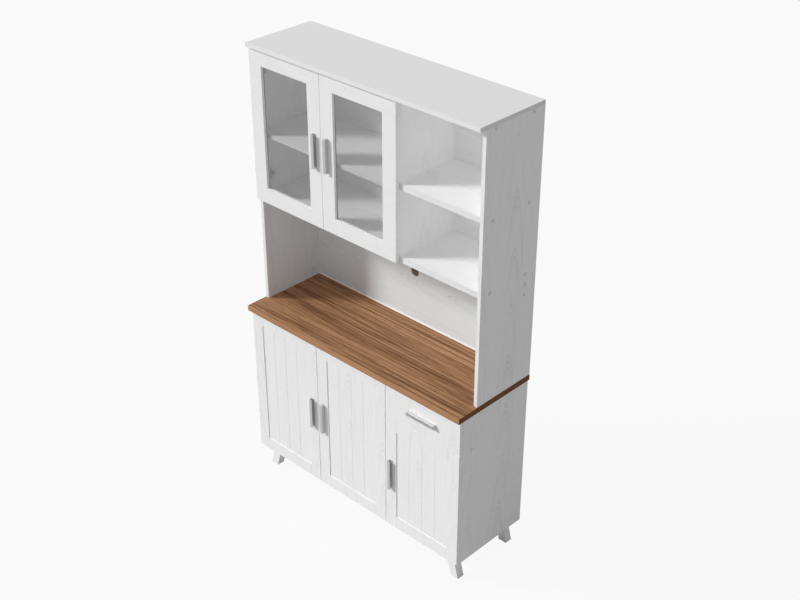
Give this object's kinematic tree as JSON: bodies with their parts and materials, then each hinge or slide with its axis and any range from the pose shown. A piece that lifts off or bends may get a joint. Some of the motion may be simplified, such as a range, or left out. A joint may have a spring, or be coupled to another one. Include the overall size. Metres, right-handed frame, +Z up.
{
  "type": "buffet cabinet",
  "caption": "Tall white wood-grain kitchen hutch cabinet with glazed upper doors, open shelves, walnut worktop, panelled lower doors and a drawer on splayed feet.",
  "frame": {"origin": "on the floor, under the middle of the worktop, which is the middle of the overall box", "axes": "+X to the viewer's right when facing the doors, +Y to the rear, +Z up"},
  "size_m": [1.1, 0.3836, 1.83],
  "materials": {
    "white_wood": "white wood-grain foil, matt",
    "walnut": "walnut grain, satin",
    "brushed_nickel": "brushed nickel",
    "clear_glass": "clear",
    "zinc_steel": "zinc plated",
    "white_plastic": "matt"
  },
  "bodies": {
    "cabinet": {"base_back": "white_wood", "base_floor": "white_wood", "base_partition": "white_wood", "base_side_left": "white_wood", "base_side_right": "white_wood", "base_top_rails": "white_wood", "cubby_shelf": "white_wood", "cupboard_shelf": "white_wood", "drawer_rail": "white_wood", "drawer_runner_left": "zinc_steel", "drawer_runner_right": "zinc_steel", "foot_front_left": "white_wood", "foot_front_right": "white_wood", "foot_rear_left": "white_wood", "foot_rear_right": "white_wood", "hinge_arms": "zinc_steel", "hutch_back": "white_wood", "hutch_back_rail": "white_wood", "hutch_cap": "white_wood", "hutch_ceiling": "white_wood", "hutch_floor": "white_wood", "hutch_partition": "white_wood", "hutch_side_left": "white_wood", "hutch_side_right": "white_wood", "shelf_pins": "zinc_steel", "small_shelf": "white_wood", "wide_shelf": "white_wood", "worktop": "walnut"},
    "lower_door_left": {"lower_door_left_handle": "brushed_nickel", "lower_door_left_hinge_cups": "zinc_steel", "lower_door_left_panel": "white_wood", "lower_door_left_rails": "white_wood", "lower_door_left_stiles": "white_wood"},
    "lower_door_middle": {"lower_door_middle_handle": "brushed_nickel", "lower_door_middle_hinge_cups": "zinc_steel", "lower_door_middle_panel": "white_wood", "lower_door_middle_rails": "white_wood", "lower_door_middle_stiles": "white_wood"},
    "lower_door_right": {"lower_door_right_handle": "brushed_nickel", "lower_door_right_hinge_cups": "zinc_steel", "lower_door_right_panel": "white_wood", "lower_door_right_rails": "white_wood", "lower_door_right_stiles": "white_wood"},
    "glass_door_left": {"glass_door_left_frame": "white_wood", "glass_door_left_handle": "brushed_nickel", "glass_door_left_hinge_cups": "zinc_steel", "glass_door_left_pane": "clear_glass", "glass_door_left_retainer": "white_plastic"},
    "glass_door_right": {"glass_door_right_frame": "white_wood", "glass_door_right_handle": "brushed_nickel", "glass_door_right_hinge_cups": "zinc_steel", "glass_door_right_pane": "clear_glass", "glass_door_right_retainer": "white_plastic"},
    "drawer": {"drawer_front": "white_wood", "drawer_side_left": "white_wood", "drawer_side_right": "white_wood", "drawer_back": "white_wood", "drawer_bottom": "white_wood", "drawer_handle": "brushed_nickel", "drawer_slides": "zinc_steel"}
  },
  "joints": [
    {"name": "lower_door_left_hinge", "type": "hinge", "parent": "cabinet", "child": "lower_door_left", "pos_m": [-0.542, -0.17475, 0.4268], "axis": [0, 0, -1], "range_deg": [0, 100]},
    {"name": "lower_door_middle_hinge", "type": "hinge", "parent": "cabinet", "child": "lower_door_middle", "pos_m": [0.1795, -0.17475, 0.4268], "axis": [0, 0, 1], "range_deg": [0, 90]},
    {"name": "lower_door_right_hinge", "type": "hinge", "parent": "cabinet", "child": "lower_door_right", "pos_m": [0.542, -0.17475, 0.35345], "axis": [0, 0, 1], "range_deg": [0, 100]},
    {"name": "glass_door_left_hinge", "type": "hinge", "parent": "cabinet", "child": "glass_door_left", "pos_m": [-0.5475, -0.11275, 1.5125], "axis": [0, 0, -1], "range_deg": [0, 100]},
    {"name": "glass_door_right_hinge", "type": "hinge", "parent": "cabinet", "child": "glass_door_right", "pos_m": [0.1765, -0.11275, 1.5125], "axis": [0, 0, 1], "range_deg": [0, 100]},
    {"name": "drawer_slide", "type": "slide", "parent": "cabinet", "child": "drawer", "axis": [0, -1, 0], "range_m": [0, 0.225]}
  ]
}
